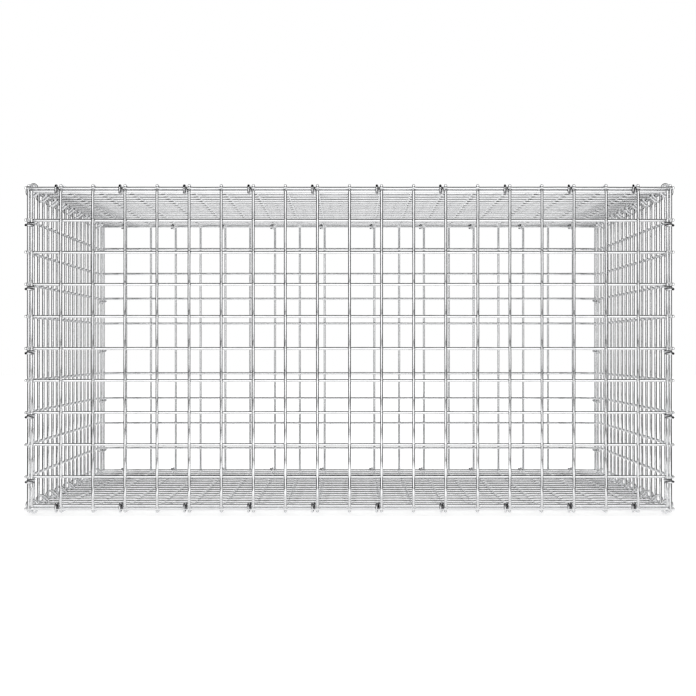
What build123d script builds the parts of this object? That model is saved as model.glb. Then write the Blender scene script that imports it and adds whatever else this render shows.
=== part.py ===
from build123d import *
from math import cos, radians, sqrt, sin
import os

# A closed gabion basket: six panels of welded mesh laced together with steel C-rings.
# X runs along the width, Y from front to back, Z up.
# The origin is on the ground, under the middle of the basket.

os.makedirs("parts", exist_ok=True)

# Driving dimensions of the mesh, in millimetres
pitch = 50.0            # between the centres of neighbouring wires
width_cells = 20
depth_cells = 18
height_cells = 10
wire = 4.5              # thickness of a mesh wire, across its flats
wire_sides = 8
slack = 0.3             # left between wires of two panels that lie side by side
end_trim = 0.3          # wire ends stop this short of the outside of the edge wire

# Driving dimensions of the C-rings
ring_wire = 3.4         # thickness of the wire of a ring, across its flats
ring_sides = 6
side_ring_bore = 12.8   # inside of a ring on a side panel, from its back to its lapped ends
ring_lap = 4.0          # each end runs this far past the middle of the ring
ring_lap_gap = 1.0      # between the two lapped ends
ring_corners = 3        # in each half turn of a ring
ring_seat = 0.4         # between a ring and the wires that it holds
ring_beside = 5.5       # from a mesh wire to the middle of the ring beside it
ring_every = 2          # mesh wires from one ring to the next

# Places of the wires. The front and back panels fit inside the other four, so that their
# edge wires lie beside the edge wires of those. The sides sit half a step forward and
# the lid and base half a step back, so that the wires of both pass each other.
width = width_cells * pitch
depth = depth_cells * pitch
height = height_cells * pitch
overhang = wire / 2 - end_trim
beside = wire + slack
stagger = beside / 2
side_wires = width / 2                  # X of the upright wires of the side panels
end_wires = depth / 2                   # Y of the upright wires of the front and back
end_rails = end_wires - wire            # Y of the crosswise wires welded behind them

# Path of a ring, seen along the edge that it laces: X from wire to wire, Y to its laps
end_ring_bore = wire + 2 * ring_seat + ring_lap_gap + ring_wire
ring_back = -(wire + ring_wire) / 2 - ring_seat


def half_turn(centre, lap, first_angle):
    """Corners of the half turn that leads between the back of a ring and a lapped end."""
    radius = (lap - ring_back) / 2
    step = 180 / ring_corners
    corner_radius = radius / cos(radians(step / 2))
    angles = [radians(first_angle + step * (corner + 0.5)) for corner in range(ring_corners)]
    middle = (lap + ring_back) / 2
    return [(centre + corner_radius * cos(a), middle + corner_radius * sin(a)) for a in angles]


def closed_ring(span, bore):
    """A C-ring closed round two wires that lie span apart, its ends lapped."""
    outer_lap = ring_back + ring_wire + bore
    inner_lap = outer_lap - ring_wire - ring_lap_gap
    with BuildPart() as ring:
        with BuildLine():
            path = Polyline(
                (ring_lap, outer_lap),
                *half_turn(-span / 2, outer_lap, 90),
                *half_turn(span / 2, inner_lap, -90),
                (-ring_lap, inner_lap),
            )
        with BuildSketch(Plane(path @ 0, x_dir=(0, 0, 1), z_dir=path % 0)):
            RegularPolygon(ring_wire / 2, ring_sides, major_radius=False)
        sweep(transition=Transition.RIGHT)
    return ring.part


# Height of the lowest mesh wires: the basket stands on the rings of its lower side edges
lean = Plane((0, 0, 0), x_dir=(1, 0, -1), z_dir=(0, -1, 0))
foot = (lean * closed_ring(wire * sqrt(2), side_ring_bore)).bounding_box().min.Z
bottom = wire / 2 - foot
top = bottom + height
mid_height = (top + bottom) / 2


def wire_places(cells, inset=0.0):
    """Places of the wires across a panel, the two edge wires moved in by inset."""
    reach = cells * pitch / 2
    inner = [step * pitch - reach for step in range(1, cells)]
    return [inset - reach, *inner, reach - inset]


def save(part, name):
    part.label = name
    export_step(part, f"parts/{name}.step")


def mesh_panel(name, face, across, along):
    """Welded mesh on a plane: its outer wires run along Y, the inner ones along X."""
    outer = Plane(face.origin, x_dir=face.x_dir, z_dir=face.y_dir)
    inner = Plane(face.origin - face.z_dir * wire, x_dir=face.y_dir, z_dir=face.x_dir)
    with BuildPart() as panel:
        for plane, places, reach in ((outer, across, along[-1]), (inner, along, across[-1])):
            with BuildSketch(plane):
                with Locations(*((place, 0) for place in places)):
                    RegularPolygon(wire / 2, wire_sides, False, rotation=180 / wire_sides)
            extrude(amount=reach + overhang, both=True)
    save(panel.part, name)


def ring_row(name, first, second, along, lap_side, cells, bore):
    """C-rings round two wires along an edge, one beside every second wire across them."""
    across = (second - first).normalized()
    laps = along.cross(across)
    if laps.dot(lap_side) < 0:
        laps = laps * -1
    middle = (first + second) * 0.5
    facing = across.cross(laps)
    steps = [(place - cells / 2) * pitch - ring_beside for place in range(1, cells, ring_every)]
    places = [Plane(middle + along * step, x_dir=across, z_dir=facing) for step in steps]
    ring = closed_ring((second - first).length, bore)
    with BuildPart() as row:
        with Locations(*places):
            add(ring)
    save(row.part, name)


# The six panels; every outward face carries the wires that run the longer way up or back
end_across = wire_places(width_cells, beside)
end_along = wire_places(height_cells, beside)
front = Plane((0, -end_wires, mid_height), x_dir=(1, 0, 0), z_dir=(0, -1, 0))
back = Plane((0, end_wires, mid_height), x_dir=(-1, 0, 0), z_dir=(0, 1, 0))
mesh_panel("front_panel", front, end_across, end_along)
mesh_panel("back_panel", back, end_across, end_along)

left = Plane((-side_wires - wire, -stagger, mid_height), x_dir=(0, 0, 1), z_dir=(-1, 0, 0))
right = Plane((side_wires + wire, -stagger, mid_height), x_dir=(0, 0, 1), z_dir=(1, 0, 0))
mesh_panel("left_panel", left, wire_places(height_cells), wire_places(depth_cells))
mesh_panel("right_panel", right, wire_places(height_cells), wire_places(depth_cells))

lid = Plane((0, stagger, top + wire), x_dir=(1, 0, 0), z_dir=(0, 0, 1))
base = Plane((0, stagger, bottom - wire), x_dir=(1, 0, 0), z_dir=(0, 0, -1))
mesh_panel("lid_panel", lid, wire_places(width_cells), wire_places(depth_cells))
mesh_panel("base_panel", base, wire_places(width_cells), wire_places(depth_cells))

ends = (("front", -1), ("back", 1))
levels = (("top", 1), ("bottom", -1))
sides = (("left", -1), ("right", 1))
along_x = Vector(1, 0, 0)
along_y = Vector(0, 1, 0)
along_z = Vector(0, 0, 1)

# Rings along the width hold the lid and the base to the front and back panels
for level, up in levels:
    for end, rear in ends:
        rail = Vector(0, rear * end_rails, mid_height + up * (height / 2 - beside))
        cover = Vector(0, rear * end_wires + stagger, mid_height + up * height / 2)
        name = f"rings_{level}_{end}"
        ring_row(name, rail, cover, along_x, along_y * rear, width_cells, end_ring_bore)

# Rings up the corners hold the side panels to the front and back panels
for side, out in sides:
    for end, rear in ends:
        upright = Vector(out * (side_wires - beside), rear * end_wires, mid_height)
        edge = Vector(out * side_wires, rear * end_wires - stagger, mid_height)
        name = f"rings_{side}_{end}"
        ring_row(name, upright, edge, along_z, along_y * rear, height_cells, end_ring_bore)

# Rings along the depth hold the lid and the base to the side panels, with laps inwards
for level, up in levels:
    for side, out in sides:
        edge = Vector(out * (side_wires + wire), -stagger, mid_height + up * height / 2)
        cover = Vector(out * side_wires, -stagger, mid_height + up * (height / 2 + wire))
        inwards = along_x * -out - along_z * up
        name = f"rings_{level}_{side}"
        ring_row(name, edge, cover, along_y, inwards, depth_cells, side_ring_bore)
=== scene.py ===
import random
from math import cos, pi, radians, sin

import bmesh
import bpy
from mathutils import Matrix, Vector
from mathutils import noise as noiseField


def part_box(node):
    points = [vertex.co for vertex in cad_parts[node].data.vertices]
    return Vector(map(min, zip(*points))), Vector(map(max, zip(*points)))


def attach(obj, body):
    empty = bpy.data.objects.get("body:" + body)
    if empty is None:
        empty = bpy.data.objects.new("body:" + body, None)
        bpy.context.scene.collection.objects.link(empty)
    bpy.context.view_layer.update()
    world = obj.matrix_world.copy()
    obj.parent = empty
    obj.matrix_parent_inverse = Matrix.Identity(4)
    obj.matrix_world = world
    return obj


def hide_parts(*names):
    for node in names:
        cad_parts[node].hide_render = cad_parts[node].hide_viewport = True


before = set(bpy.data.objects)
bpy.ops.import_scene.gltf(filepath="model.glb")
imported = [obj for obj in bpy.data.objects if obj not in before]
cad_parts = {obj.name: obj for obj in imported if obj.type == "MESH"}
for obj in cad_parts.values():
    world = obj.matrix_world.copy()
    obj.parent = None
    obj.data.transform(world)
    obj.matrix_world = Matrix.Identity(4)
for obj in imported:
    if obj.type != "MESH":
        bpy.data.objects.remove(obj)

scene = bpy.context.scene
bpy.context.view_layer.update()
mm = 0.001
xAxis, yAxis, zAxis = Vector((1, 0, 0)), Vector((0, 1, 0)), Vector((0, 0, 1))
print("frame loaded:", len(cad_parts), "nodes")


# camera: level with the middle of the front, as far off as the back panel's size tells

cameraSettings = {
    "distance": 3066 * mm,      # from the front uprights
    "pixelsPerMetre": 642.2,    # at those uprights
    "frameWidth": 696,
    "sensorWidth": 36.0,
    "pixelsOff": (1.5, 0.5),    # the basket's middle lies this far right of and below the frame's
}


def addCamera():
    low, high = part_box("front_panel")
    off = cameraSettings["pixelsOff"]
    frameWidth = cameraSettings["frameWidth"]
    data = bpy.data.cameras.new("camera")
    data.sensor_width = cameraSettings["sensorWidth"]
    focalPixels = cameraSettings["pixelsPerMetre"] * cameraSettings["distance"]
    data.lens = data.sensor_width * focalPixels / frameWidth
    data.shift_x = -off[0] / frameWidth
    data.shift_y = off[1] / frameWidth
    camera = bpy.data.objects.new("camera", data)
    scene.collection.objects.link(camera)
    camera.location = (0, low.y - cameraSettings["distance"], (low.z + high.z) / 2)
    camera.rotation_euler = (pi / 2, 0, 0)
    scene.camera = camera


# materials: zinc-coated wire, changed where it is welded or cut, and a little different
# from wire to wire; at the rings' cut ends the change is bare steel, darkened to
# near-black as painted shade

zincSettings = {
    "mesh_zinc": {
        "pale": (0.98, 0.983, 0.99),
        "dull": (0.86, 0.867, 0.88),
        "weldTintAndEndShade": (0.97, 0.975, 0.98),
        "edgeTint": (0.92, 0.925, 0.935),
        "roughness": (0.05, 0.12),  # where pale, where dull
        "weldRoughness": 0.25,      # added at the welds
        "weldShare": 0.9,
        "patchSize": 14.0 * mm,
        "grainSize": 0.9 * mm,
        "grainDepth": 0.02 * mm,
    },
    "ring_zinc": {
        "pale": (0.97, 0.973, 0.98),
        "dull": (0.84, 0.847, 0.86),
        "weldTintAndEndShade": (0.2, 0.2, 0.21),   # bare steel at the cut ends, near-black as painted shade
        "edgeTint": (0.75, 0.755, 0.77),
        "roughness": (0.06, 0.14),
        "weldRoughness": 0.1,       # added at the cut ends
        "weldShare": 0.95,
        "patchSize": 6.0 * mm,
        "grainSize": 0.7 * mm,
        "grainDepth": 0.04 * mm,
    },
}

zincPattern = {
    "patchDetail": 4.0,
    "patchRoughness": 0.62,
    "crystalsPerPatch": 1.35,
    "crystalShare": 0.35,
    "palest": 0.3,              # where the pattern counts as all pale, and as all dull
    "dullest": 0.72,
    "toneShare": 0.35,
    "grainDetail": 2.0,
    "grainRoughness": 0.5,
    "bumpStrength": 0.5,
}


def addNode(tree, kind, **inputs):
    node = tree.nodes.new(kind)
    for name, value in inputs.items():
        node.inputs[name].default_value = value
    return node


def addMath(tree, operation, *inputs):
    # each input is a number or another node's output
    node = tree.nodes.new("ShaderNodeMath")
    node.operation = operation
    for socket, value in zip(node.inputs, inputs):
        if isinstance(value, (int, float)):
            socket.default_value = value
        else:
            tree.links.new(value, socket)
    return node.outputs["Value"]


def addColourMix(tree, share, first, second):
    # first is a colour or another node's output, second is a colour
    node = tree.nodes.new("ShaderNodeMix")
    node.data_type = "RGBA"
    tree.links.new(share, node.inputs["Factor"])
    if isinstance(first, tuple):
        node.inputs["A"].default_value = (*first, 1)
    else:
        tree.links.new(first, node.inputs["A"])
    node.inputs["B"].default_value = (*second, 1)
    return node.outputs["Result"]


def readAttribute(tree, name):
    node = tree.nodes.new("ShaderNodeAttribute")
    node.attribute_name = name
    return node.outputs["Fac"]


def makeZinc(name):
    look = zincSettings[name]
    material = bpy.data.materials.new(name)
    material.use_nodes = True
    tree = material.node_tree
    link = tree.links.new
    shader = tree.nodes["Principled BSDF"]
    shader.inputs["Metallic"].default_value = 1.0
    shader.inputs["Specular Tint"].default_value = (*look["edgeTint"], 1)

    place = tree.nodes.new("ShaderNodeTexCoord").outputs["Object"]
    patches = addNode(
        tree,
        "ShaderNodeTexNoise",
        Scale=1 / look["patchSize"],
        Detail=zincPattern["patchDetail"],
        Roughness=zincPattern["patchRoughness"],
    )
    crystalScale = zincPattern["crystalsPerPatch"] / look["patchSize"]
    crystals = addNode(tree, "ShaderNodeTexVoronoi", Scale=crystalScale)
    grain = addNode(
        tree,
        "ShaderNodeTexNoise",
        Scale=1 / look["grainSize"],
        Detail=zincPattern["grainDetail"],
        Roughness=zincPattern["grainRoughness"],
    )
    for texture in (patches, grain, crystals):
        link(place, texture.inputs["Vector"])
    # the weld mask marks the welds on the mesh and the cut ends on the rings; at those ends the
    # near-black is painted shade as well as bare steel
    weld = readAttribute(tree, "weld")

    # patches, crystals and the wire's own tone add up to how dull the zinc is
    pattern = addNode(tree, "ShaderNodeMix", Factor=zincPattern["crystalShare"])
    link(patches.outputs["Fac"], pattern.inputs["A"])
    link(crystals.outputs["Color"], pattern.inputs["B"])
    spread = addNode(tree, "ShaderNodeMapRange")
    spread.inputs["From Min"].default_value = zincPattern["palest"]
    spread.inputs["From Max"].default_value = zincPattern["dullest"]
    link(pattern.outputs["Result"], spread.inputs["Value"])
    toned = addNode(tree, "ShaderNodeMix", Factor=zincPattern["toneShare"])
    link(spread.outputs["Result"], toned.inputs["A"])
    link(readAttribute(tree, "tone"), toned.inputs["B"])
    dullness = toned.outputs["Result"]

    zinc = addColourMix(tree, dullness, look["pale"], look["dull"])
    changed = addMath(tree, "MULTIPLY", weld, look["weldShare"])
    link(addColourMix(tree, changed, zinc, look["weldTintAndEndShade"]), shader.inputs["Base Color"])

    rough = addNode(tree, "ShaderNodeMapRange")
    rough.inputs["To Min"].default_value = look["roughness"][0]
    rough.inputs["To Max"].default_value = look["roughness"][1]
    link(dullness, rough.inputs["Value"])
    added = look["weldRoughness"]
    rougher = addMath(tree, "MULTIPLY_ADD", weld, added, rough.outputs["Result"])
    link(rougher, shader.inputs["Roughness"])

    depth = look["grainDepth"]
    bump = addNode(tree, "ShaderNodeBump", Strength=zincPattern["bumpStrength"], Distance=depth)
    link(grain.outputs["Fac"], bump.inputs["Height"])
    link(bump.outputs["Normal"], shader.inputs["Normal"])
    return material


# wires: drawn round, strayed a little between the welds, pressed together at them

wireSettings = {
    "thickness": 4.5 * mm,
    "pitch": 50.0 * mm,
    "endTrim": 0.3 * mm,        # the cut ends stop this short of the outside of the edge wire
    "sides": 12,
    "pressed": 0.3 * mm,        # each wire sinks this far towards the other at a weld
    "flattened": 0.16,          # and gets this much thinner there
    "pressedReach": 5.0 * mm,
    "pressedSteps": (-1.0, -0.4, 0.0, 0.4, 1.0),    # points at a weld, in parts of that reach
    "weldedShare": 0.6,         # part of that reach on which the zinc is changed
    "stray": 0.15 * mm,         # at most, between two welds
    "strayWaves": 11,           # in a metre
    "endChamfer": 0.7 * mm,
    "endRadius": 0.62,          # of the wire's own
    "endSpread": 0.25 * mm,     # how unevenly the ends are cut
}

weldSettings = {
    "acrossWires": 2.7 * mm,
    "betweenWires": 1.2 * mm,
    "unevenness": 0.12,
    "subdivisions": 2,
}

# the side of each panel that faces out, the run of its outer wires and that of the inner ones
panelSettings = {
    "front_panel": (-yAxis, zAxis, xAxis),
    "back_panel": (yAxis, zAxis, xAxis),
    "left_panel": (-xAxis, yAxis, zAxis),
    "right_panel": (xAxis, yAxis, zAxis),
    "lid_panel": (zAxis, yAxis, xAxis),
    "base_panel": (-zAxis, yAxis, xAxis),
}


class MeshDraft:
    def __init__(self):
        self.points, self.faces, self.weld, self.tone = [], [], [], []

    def addTube(self, line, radii, thinned, side, sides, weld, tone):
        first = len(self.points)
        circle = [(cos(2 * pi * k / sides), sin(2 * pi * k / sides)) for k in range(sides)]
        last = len(line) - 1
        for i, point in enumerate(line):
            ahead = (line[min(i + 1, last)] - line[max(i - 1, 0)]).normalized()
            across = (side - ahead * side.dot(ahead)).normalized() * radii[i]
            up = ahead.cross(across) * thinned[i]
            self.points += [point + across * c + up * s for c, s in circle]
            self.weld += [weld[i]] * sides
        self.tone += [tone] * (sides * len(line))
        for i in range(last):
            a, b = first + i * sides, first + (i + 1) * sides
            for k in range(sides):
                n = (k + 1) % sides
                self.faces.append((a + k, a + n, b + n, b + k))
        self.faces.append(tuple(range(first + sides - 1, first - 1, -1)))
        end = first + last * sides
        self.faces.append(tuple(range(end, end + sides)))

    def addBlob(self, shape, placed, tone):
        first = len(self.points)
        self.points += [placed @ point for point in shape[0]]
        self.faces += [tuple(first + corner for corner in face) for face in shape[1]]
        self.weld += [1.0] * len(shape[0])
        self.tone += [tone] * len(shape[0])

    def finish(self, name, node, material):
        mesh = bpy.data.meshes.new(name)
        mesh.from_pydata(self.points, [], self.faces)
        for attribute, values in (("weld", self.weld), ("tone", self.tone)):
            mesh.attributes.new(attribute, "FLOAT", "POINT").data.foreach_set("value", values)
        # the cut ends are the only faces with many corners, and they stay flat
        mesh.polygons.foreach_set("use_smooth", [len(face) <= 4 for face in self.faces])
        mesh.materials.append(material)
        piece = bpy.data.objects.new(name, mesh)
        scene.collection.objects.link(piece)
        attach(piece, "root")
        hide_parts(node)
        triangles = sum(len(face) - 2 for face in self.faces)
        print(f"{name}: {triangles} triangles")
        return triangles


def roundBlob():
    bm = bmesh.new()
    bmesh.ops.create_icosphere(bm, subdivisions=weldSettings["subdivisions"], radius=1)
    shape = [v.co.copy() for v in bm.verts], [[v.index for v in f.verts] for f in bm.faces]
    bm.free()
    return shape


def wirePlaces(low, high):
    # evenly about the middle, but the edge wires lie at the panel's own edges
    edge, pitch = wireSettings["thickness"] / 2, wireSettings["pitch"]
    cells = round((high - low) / pitch)
    first = (low + high - cells * pitch) / 2
    return [low + edge] + [first + pitch * i for i in range(1, cells)] + [high - edge]


def layWire(draft, start, run, length, towards, crossings, draw):
    reach = wireSettings["pressedReach"]
    chamfer = wireSettings["endChamfer"]
    begin = draw.uniform(0, wireSettings["endSpread"])
    end = length - draw.uniform(0, wireSettings["endSpread"])
    stations = [begin + chamfer, end - chamfer]
    for crossing in crossings:
        stations += [crossing + step * reach for step in wireSettings["pressedSteps"]]
    stations += [(a + b) / 2 for a, b in zip(crossings, crossings[1:])]
    stations = sorted(s for s in stations if begin + chamfer <= s <= end - chamfer)

    side = towards.cross(run)
    seed = draw.uniform(0, 100)     # so that no two wires stray alike
    line, radii, thinned, weld = [], [], [], []
    for s in [begin, *stations, end]:
        nearest = min(abs(s - crossing) for crossing in crossings)
        welded = max(0.0, 1 - (nearest / reach) ** 2)
        press = wireSettings["pressed"] * welded
        stray = 2 * wireSettings["stray"] * min(1.0, nearest / (wireSettings["pitch"] / 2))
        wave = s * wireSettings["strayWaves"]
        sway = stray * noiseField.noise(Vector((wave, seed, 0.5)))
        bow = stray * noiseField.noise(Vector((wave, seed, 7.5)))
        line.append(start + run * s + towards * (press + bow) + side * sway)
        share = wireSettings["endRadius"] if s in (begin, end) else 1.0
        radii.append(wireSettings["thickness"] / 2 * share)
        thinned.append(1 - wireSettings["flattened"] * welded)
        weld.append(max(0.0, 1 - nearest / (wireSettings["weldedShare"] * reach)))
    draft.addTube(line, radii, thinned, side, wireSettings["sides"], weld, draw.random())


def buildPanel(node, material, blob, draw):
    outward, outerRun, innerRun = panelSettings[node]
    low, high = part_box(node)
    edge = wireSettings["thickness"] / 2
    face = max(low.dot(outward), high.dot(outward))
    lows = {"outer": low.dot(outerRun), "inner": low.dot(innerRun)}
    highs = {"outer": high.dot(outerRun), "inner": high.dot(innerRun)}
    outerPlaces = wirePlaces(lows["inner"], highs["inner"])
    innerPlaces = wirePlaces(lows["outer"], highs["outer"])
    trim = wireSettings["endTrim"]

    draft = MeshDraft()
    for which, run, spread, level, places, crossed, towards in (
        ("outer", outerRun, innerRun, face - edge, outerPlaces, innerPlaces, -outward),
        ("inner", innerRun, outerRun, face - 3 * edge, innerPlaces, outerPlaces, outward),
    ):
        begin = lows[which] + trim
        length = highs[which] - trim - begin
        crossings = [place - begin for place in crossed]
        for place in places:
            start = outward * level + run * begin + spread * place
            layWire(draft, start, run, length, towards, crossings, draw)

    turn = outward.to_track_quat("Z", "Y").to_matrix().to_4x4()
    for outerPlace in outerPlaces:
        for innerPlace in innerPlaces:
            middle = outward * (face - 2 * edge) + innerRun * outerPlace + outerRun * innerPlace
            uneven = [1 + weldSettings["unevenness"] * draw.uniform(-1, 1) for _ in range(3)]
            size = (
                weldSettings["acrossWires"] * uneven[0],
                weldSettings["acrossWires"] * uneven[1],
                weldSettings["betweenWires"] * uneven[2],
                1,
            )
            spin = Matrix.Rotation(draw.uniform(0, pi), 4, "Z")
            placed = Matrix.Translation(middle) @ turn @ spin @ Matrix.Diagonal(size)
            draft.addBlob(blob, placed, draw.random())
    return draft.finish(node.replace("_panel", "_mesh"), node, material)


# rings: springy wire closed round two mesh wires, its ends lapped

ringSettings = {
    "wire": 3.4 * mm,
    "seat": 0.4 * mm,
    "beside": 5.5 * mm,         # from a mesh wire to the ring
    "every": 2,
    "sides": 12,
    "turnSteps": 12,            # points in a half turn
    "slide": (0.2 * mm, 1.3 * mm),  # further off than that, least and most
    "yaw": 3.0,                 # degrees either way
    "endTaper": 0.9 * mm,
    "endRadius": 0.55,          # of the wire's own
    "shadedBareEnd": 1.4 * mm,        # length of the bare steel at a cut end, painted near-black as shade
}

# on the edges of the front and back panels the ends of a ring lap side by side
tightRings = {
    "bore": 5.3 * mm,           # inside, from the back of the ring to the farther end
    "step": 0.0,                # from that end in to the other
    "lap": 4.6 * mm,            # past the middle
    "twist": -3.7 * mm,         # from one end to the other, along the edge
    # these rings' cut ends are bare steel, painted near-black as shade
    "shadedBareEnds": 1.0,
}

# on the edges from front to back they lap one above the other
openRings = {
    "bore": 12.8 * mm,
    "step": 4.4 * mm,
    "lap": 6.0 * mm,
    "twist": -0.9 * mm,
    "shadedBareEnds": 0.0,
}


def halfTurn(centre, lap, back, firstAngle):
    steps = ringSettings["turnSteps"]
    radius, middle = (lap - back) / 2, (lap + back) / 2
    angles = [radians(firstAngle + 180 * i / steps) for i in range(steps + 1)]
    return [(centre + radius * cos(a), middle + radius * sin(a)) for a in angles]


def ringLine(span, laps):
    wire = ringSettings["wire"]
    back = -(wireSettings["thickness"] + wire) / 2 - ringSettings["seat"]
    outerLap = back + wire + laps["bore"]
    innerLap = outerLap - laps["step"]
    lap = laps["lap"]
    ends = [lap, lap - ringSettings["endTaper"], lap - ringSettings["shadedBareEnd"]]
    firstEnd = [(u, outerLap) for u in ends]
    lastEnd = [(-u, innerLap) for u in reversed(ends)]
    firstTurn = halfTurn(-span / 2, outerLap, back, 90)
    lastTurn = halfTurn(span / 2, innerLap, back, -90)
    return firstEnd, firstTurn, lastTurn, lastEnd


def buildRings(node, held, along, lapSide, laps, places, material, draw):
    across = (held[1] - held[0]).normalized()
    outwards = along.cross(across)
    if outwards.dot(lapSide) < 0:
        outwards = -outwards
    middle = (held[0] + held[1]) / 2
    middle -= along * middle.dot(along)
    firstEnd, firstTurn, lastTurn, lastEnd = ringLine((held[1] - held[0]).length, laps)
    flat = [*firstEnd, *firstTurn, *lastTurn, *lastEnd]
    endPoints = len(firstEnd)
    # marks the cut ends: bare steel, painted near-black as shade on the front and back rings
    shadedBare = [0.0] * len(flat)
    shadedBare[:endPoints] = shadedBare[-endPoints:] = [laps["shadedBareEnds"]] * endPoints
    radii = [ringSettings["wire"] / 2] * len(flat)
    radii[0] = radii[-1] = ringSettings["endRadius"] * ringSettings["wire"] / 2
    even = [1.0] * len(flat)

    draft = MeshDraft()
    for place in places:
        slide = -draw.uniform(*ringSettings["slide"])
        yaw = radians(draw.uniform(-1, 1) * ringSettings["yaw"])
        turned = Matrix.Rotation(yaw, 3, outwards)
        line = []
        for i, (u, v) in enumerate(flat):
            # the twist is taken up behind the wires, between the middles of the two turns
            passed = (i - endPoints - (len(firstTurn) - 1) / 2) / len(firstTurn)
            twist = laps["twist"] * (min(1.0, max(0.0, passed)) - 0.5)
            local = turned @ (across * u + along * (twist + slide)) + outwards * v
            line.append(middle + along * place + local)
        draft.addTube(line, radii, even, along, ringSettings["sides"], shadedBare, draw.random())
    return draft.finish(node, node, material)


def ringPlaces(low, high):
    beside, every = ringSettings["beside"], ringSettings["every"]
    return [place - beside for place in wirePlaces(low, high)[1::every]]


def buildAllRings(material, draw):
    # the two wires that each row of rings holds are read from the panels' boxes
    thickness = wireSettings["thickness"]
    edge = thickness / 2
    front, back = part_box("front_panel"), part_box("back_panel")
    left, lid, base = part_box("left_panel"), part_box("lid_panel"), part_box("base_panel")
    covers = {"top": (1, lid[0].z + edge), "bottom": (-1, base[1].z - edge)}
    rails = {"top": front[1].z - edge, "bottom": front[0].z + edge}
    railFrom = {"front": front[1].y - edge, "back": back[0].y + edge}
    coverFrom = {"front": lid[0].y + edge, "back": lid[1].y - edge}
    uprightFrom = {"front": front[0].y + edge, "back": back[1].y - edge}
    sideFrom = {"front": left[0].y + edge, "back": left[1].y - edge}
    uprightAt = front[1].x - edge
    sideAt = lid[1].x - edge
    widthPlaces = ringPlaces(lid[0].x, lid[1].x)
    depthPlaces = ringPlaces(left[0].y, left[1].y)
    heightPlaces = ringPlaces(left[0].z, left[1].z)
    ends = {"front": -yAxis, "back": yAxis}
    sides = {"left": -1, "right": 1}

    rows = []
    for level, (up, z) in covers.items():
        for end, rear in ends.items():
            held = Vector((0, railFrom[end], rails[level])), Vector((0, coverFrom[end], z))
            rows.append((f"rings_{level}_{end}", held, xAxis, rear, tightRings, widthPlaces))
        for side, out in sides.items():
            edgeWire = Vector((out * (sideAt + thickness), 0, z))
            coverWire = Vector((out * sideAt, 0, z + up * thickness))
            held = edgeWire, coverWire
            inwards = Vector((-out, 0, -up))
            rows.append((f"rings_{level}_{side}", held, yAxis, inwards, openRings, depthPlaces))
    for side, out in sides.items():
        for end, rear in ends.items():
            upright = Vector((out * uprightAt, uprightFrom[end], 0))
            edgeWire = Vector((out * sideAt, sideFrom[end], 0))
            held = upright, edgeWire
            rows.append((f"rings_{side}_{end}", held, zAxis, rear, tightRings, heightPlaces))
    return sum(buildRings(*row, material, draw) for row in rows)


# studio: white all round and a broad soft light from the front
# the cards show only in the zinc: black ones above and to the sides; a pale grey one under the
# basket, which paints the basket's shadow on the floor into the reflections; pale ones beside
# the rear half, which fade in from their front ends and paint paler reflections on the rear
# wires; and near-black ones on the floor, which paint dark reflections on the lowest wires

studioSettings = {
    "skyLight": 0.8,
    "frontLight": 0.9,
    "frontAngle": 110,          # degrees across
    "frontHeight": 12,          # degrees above the horizon
    "floorColour": 0.8,
    "floorFill": 0.43,
    "floorSize": 30.0,
    "cards": {                  # middle, size along X, Y and Z, brightness, length of the fade
        "card_above": ((0, 0.35, 1.31), (3.6, 4.5, 0), 0.0, 0),
        "card_left": ((-2.0, 0.35, 1.15), (0, 7.3, 2.3), 0.0, 0),
        "card_right": ((2.0, 0.35, 1.15), (0, 7.3, 2.3), 0.0, 0),
        # painted shadow: pale grey on the floor under the basket, shown only in the zinc as the
        # basket's shadow
        "painted_shadow_below": ((0, 0.1, 0.001), (1.3, 1.5, 0), 0.8, 0),
        # painted reflections: pale light that only the rear wires show
        "painted_reflection_rear_left": ((-0.57, 0.85, 0.4), (0, 1.8, 0.8), 0.6, 0.8),
        "painted_reflection_rear_right": ((0.57, 0.85, 0.4), (0, 1.8, 0.8), 0.6, 0.8),
        # painted dark reflections: near-black floor beside the basket, seen only in the lowest
        # wires
        "dark_reflection_floor_left": ((-1.33, -0.85, 0.001), (1.34, 4.9, 0), 0.05, 0),
        "dark_reflection_floor_right": ((1.33, -0.85, 0.001), (1.34, 4.9, 0), 0.05, 0),
    },
}


def seenRays(tree):
    # 1 for rays from the camera, in reflections and through glass
    path = tree.nodes.new("ShaderNodeLightPath")
    seen = path.outputs["Is Camera Ray"]
    for ray in ("Is Glossy Ray", "Is Transmission Ray"):
        seen = addMath(tree, "MAXIMUM", seen, path.outputs[ray])
    return seen


def emptyMaterial(name):
    material = bpy.data.materials.new(name)
    material.use_nodes = True
    material.node_tree.nodes.remove(material.node_tree.nodes["Principled BSDF"])
    return material, material.node_tree


def addGlow(tree, brightness):
    colour = (brightness, brightness, brightness, 1)
    return addNode(tree, "ShaderNodeEmission", Color=colour, Strength=1.0)


def addWorld():
    world = bpy.data.worlds.new("studio")
    world.use_nodes = True
    tree = world.node_tree
    lit = tree.nodes["Background"]
    lit.inputs["Color"].default_value = (1, 1, 1, 1)
    lit.inputs["Strength"].default_value = studioSettings["skyLight"]
    shown = addNode(tree, "ShaderNodeBackground", Color=(1, 1, 1, 1), Strength=1.0)
    mixed = tree.nodes.new("ShaderNodeMixShader")
    tree.links.new(seenRays(tree), mixed.inputs["Fac"])
    tree.links.new(lit.outputs["Background"], mixed.inputs[1])
    tree.links.new(shown.outputs["Background"], mixed.inputs[2])
    tree.links.new(mixed.outputs["Shader"], tree.nodes["World Output"].inputs["Surface"])
    scene.world = world


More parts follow.
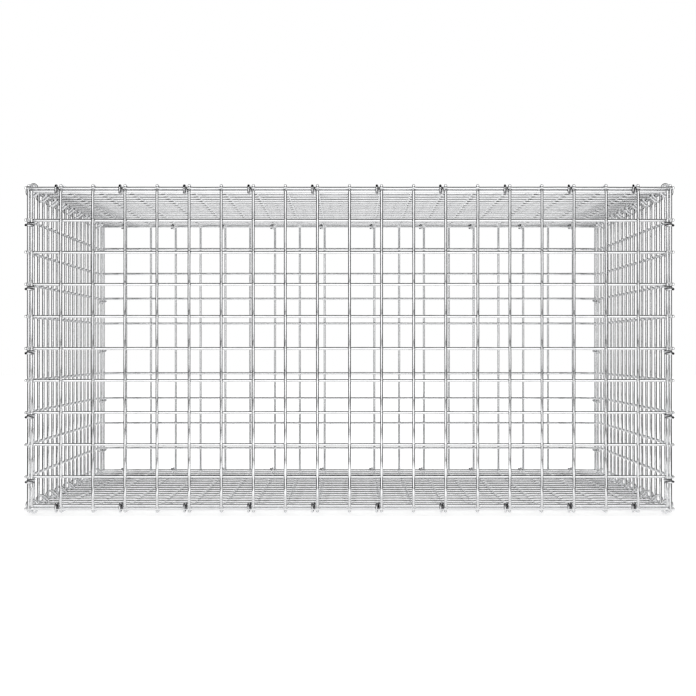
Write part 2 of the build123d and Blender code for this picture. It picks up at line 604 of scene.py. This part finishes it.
def addSheet(name, middle, size, material):
    # flat where its height is 0, else upright and facing along X
    x, y, z = (s / 2 for s in size)
    if z == 0:
        corners = [(-x, -y, 0), (x, -y, 0), (x, y, 0), (-x, y, 0)]
    else:
        corners = [(0, -y, -z), (0, y, -z), (0, y, z), (0, -y, z)]
    mesh = bpy.data.meshes.new(name)
    mesh.from_pydata(corners, [], [(0, 1, 2, 3)])
    mesh.materials.append(material)
    sheet = bpy.data.objects.new(name, mesh)
    sheet.location = middle
    scene.collection.objects.link(sheet)
    return sheet


def addFloor():
    material, tree = emptyMaterial("floor")
    colour = studioSettings["floorColour"]
    matt = addNode(tree, "ShaderNodeBsdfDiffuse", Color=(colour, colour, colour, 1))
    fill = addGlow(tree, 1.0)
    strength = addMath(tree, "MULTIPLY", seenRays(tree), studioSettings["floorFill"])
    both = tree.nodes.new("ShaderNodeAddShader")
    tree.links.new(strength, fill.inputs["Strength"])
    tree.links.new(matt.outputs["BSDF"], both.inputs[0])
    tree.links.new(fill.outputs["Emission"], both.inputs[1])
    tree.links.new(both.outputs["Shader"], tree.nodes["Material Output"].inputs["Surface"])
    size = studioSettings["floorSize"]
    addSheet("floor", (0, 0, 0), (size, size, 0), material)


def fadeIn(tree, surface, start, fade):
    # clear at the card's front end, and the whole surface from the end of the fade on
    place = tree.nodes.new("ShaderNodeTexCoord").outputs["Object"]
    split = tree.nodes.new("ShaderNodeSeparateXYZ")
    tree.links.new(place, split.inputs["Vector"])
    ramp = tree.nodes.new("ShaderNodeMapRange")
    ramp.interpolation_type = "SMOOTHSTEP"
    ramp.inputs["From Min"].default_value = start
    ramp.inputs["From Max"].default_value = start + fade
    tree.links.new(split.outputs["Y"], ramp.inputs["Value"])
    clear = tree.nodes.new("ShaderNodeBsdfTransparent")
    mixed = tree.nodes.new("ShaderNodeMixShader")
    tree.links.new(ramp.outputs["Result"], mixed.inputs["Fac"])
    tree.links.new(clear.outputs["BSDF"], mixed.inputs[1])
    tree.links.new(surface, mixed.inputs[2])
    return mixed.outputs["Shader"]


def addCards():
    for name, (middle, size, brightness, fade) in studioSettings["cards"].items():
        material, tree = emptyMaterial(name)
        surface = addGlow(tree, brightness).outputs["Emission"]
        if fade:
            surface = fadeIn(tree, surface, -size[1] / 2, fade)
        tree.links.new(surface, tree.nodes["Material Output"].inputs["Surface"])
        card = addSheet(name, middle, size, material)
        card.visible_camera = card.visible_diffuse = card.visible_shadow = False


def addFrontLight():
    lamp = bpy.data.lights.new("front_light", "SUN")
    lamp.energy = studioSettings["frontLight"]
    lamp.angle = radians(studioSettings["frontAngle"])
    light = bpy.data.objects.new("front_light", lamp)
    light.rotation_euler = (radians(90 - studioSettings["frontHeight"]), 0, 0)
    scene.collection.objects.link(light)


addCamera()
addWorld()
addFloor()
addCards()
addFrontLight()
scene.view_settings.view_transform = "Standard"
print("studio ready")

draw = random.Random(7)
meshZinc, ringZinc = makeZinc("mesh_zinc"), makeZinc("ring_zinc")
blob = roundBlob()
total = sum(buildPanel(node, meshZinc, blob, draw) for node in panelSettings)
total += buildAllRings(ringZinc, draw)
print("basket:", total, "triangles")

bpy.context.view_layer.update()
